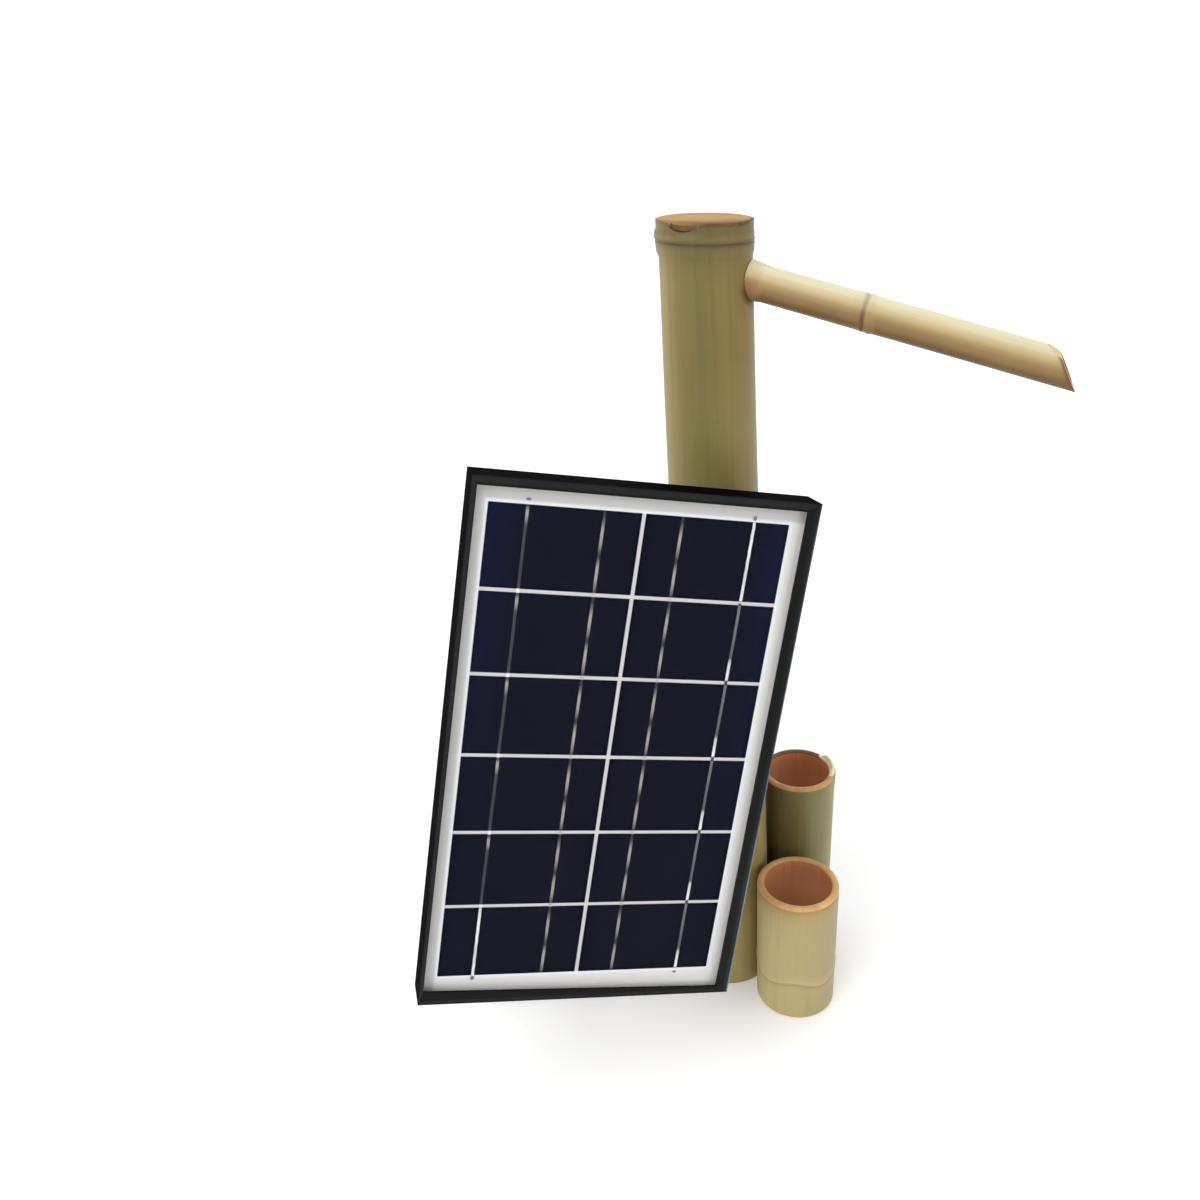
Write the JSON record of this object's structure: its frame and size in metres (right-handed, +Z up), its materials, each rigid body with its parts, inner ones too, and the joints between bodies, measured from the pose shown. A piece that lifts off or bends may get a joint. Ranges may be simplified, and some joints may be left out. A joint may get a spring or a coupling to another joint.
{
  "type": "bamboo water spout with solar panel",
  "caption": "Leaning bamboo post with a slanted push-in spout and a pump in its foot, bamboo cups beside it, and a framed solar panel on a swivelling stand.",
  "frame": {"origin": "centre of the bamboo post's foot, on the ground", "axes": "+Z up; +X to the side that the spout leaves the post; +Y back, away from the solar panel's face"},
  "size_m": [0.3277, 0.2098, 0.4534],
  "materials": {
    "post_bamboo": "satin, aged olive tan skin",
    "pale_bamboo": "satin, pale cream skin",
    "green_bamboo": "satin, greenish olive skin",
    "tan_bamboo": "satin, pale tan skin",
    "screw_steel": "satin stainless",
    "bolt_steel": "satin stainless",
    "shaft_steel": "ground",
    "tinned_ribbon": "tinned copper",
    "painted_steel": "black powder coat",
    "stator_iron": "laminated iron and coil",
    "ferrite_magnet": "matte ferrite",
    "black_anodised": "satin black anodised",
    "plain_aluminium": "mill finish",
    "solar_glass": "clear tempered",
    "cell_silicon": "dark blue laminated silicon",
    "pale_sheet": "pale grey laminate",
    "box_plastic": "black",
    "block_plastic": "white",
    "pump_plastic": "black",
    "impeller_plastic": "white",
    "elbow_plastic": "black",
    "knob_plastic": "black moulded",
    "washer_nylon": "natural nylon",
    "black_rubber": "matte",
    "hose_rubber": "translucent silicone"
  },
  "bodies": {
    "fountain": {"main_post": "post_bamboo", "rear_cup": "green_bamboo", "front_cup": "tan_bamboo", "joining_screws": "screw_steel", "pump_feet": "black_rubber", "pump_volute": "pump_plastic", "pump_strainer": "pump_plastic", "pump_housing": "pump_plastic", "pump_stator": "stator_iron", "pump_shaft": "shaft_steel", "pump_cap": "pump_plastic", "pump_gland": "black_rubber", "riser_hose": "hose_rubber", "hose_elbow": "elbow_plastic", "foot_plate": "painted_steel", "foot_pads": "black_rubber", "plate_screws": "screw_steel", "pole_socket": "painted_steel", "socket_screws": "screw_steel", "pole": "painted_steel"},
    "spout": {"spout": "pale_bamboo"},
    "impeller": {"impeller": "impeller_plastic", "impeller_magnet": "ferrite_magnet"},
    "swivel_head": {"pan_head": "painted_steel", "tilt_bolt": "bolt_steel", "tilt_washers": "bolt_steel"},
    "pan_knob": {"pan_knob": "knob_plastic"},
    "tilt_knob": {"tilt_knob": "knob_plastic"},
    "tilt_arm": {"tilt_arm": "painted_steel", "spin_bolt": "bolt_steel"},
    "solar_panel": {"frame_rail_bottom": "black_anodised", "frame_rail_right": "black_anodised", "frame_rail_top": "black_anodised", "frame_rail_left": "black_anodised", "glass_cover": "solar_glass", "solar_cells": "cell_silicon", "cell_ribbons": "tinned_ribbon", "backsheet": "pale_sheet", "corner_brackets": "plain_aluminium", "corner_screws": "screw_steel", "back_strap": "plain_aluminium", "strap_screws": "screw_steel", "spin_washer": "washer_nylon", "junction_box": "box_plastic", "junction_box_lid": "box_plastic", "lid_screws": "screw_steel", "terminal_block": "block_plastic", "cable_gland": "box_plastic", "gland_nut": "box_plastic"}
  },
  "joints": [
    {"name": "spout_pull", "type": "slide", "parent": "fountain", "child": "spout", "axis": [0.9077, -0.3304, -0.2588], "range_m": [0, 0.04]},
    {"name": "impeller_spin", "type": "hinge", "parent": "fountain", "child": "impeller", "pos_m": [0, 0, 0.01], "axis": [0, 0, 1], "continuous": true},
    {"name": "pan_swivel", "type": "hinge", "parent": "fountain", "child": "swivel_head", "pos_m": [-0.08419, -0.00607, 0.20255], "axis": [0, 0, 1], "range_deg": [-45, 2]},
    {"name": "tilt", "type": "hinge", "parent": "swivel_head", "child": "tilt_arm", "pos_m": [-0.08419, -0.00607, 0.20255], "axis": [0.9751, 0.2215, 0], "range_deg": [-3, 12]},
    {"name": "panel_spin", "type": "hinge", "parent": "tilt_arm", "child": "solar_panel", "pos_m": [-0.0666, -0.0835, 0.2123], "axis": [-0.2199, 0.9679, -0.1219], "range_deg": [-10, 45]},
    {"name": "tilt_knob_turn", "type": "hinge", "parent": "swivel_head", "child": "tilt_knob", "pos_m": [-0.08419, -0.00607, 0.20255], "axis": [0.9751, 0.2215, 0], "range_deg": [0, 360]},
    {"name": "pan_knob_turn", "type": "hinge", "parent": "swivel_head", "child": "pan_knob", "pos_m": [-0.08419, -0.00607, 0.17355], "axis": [-0.2215, 0.9751, 0], "range_deg": [0, 360]}
  ]
}
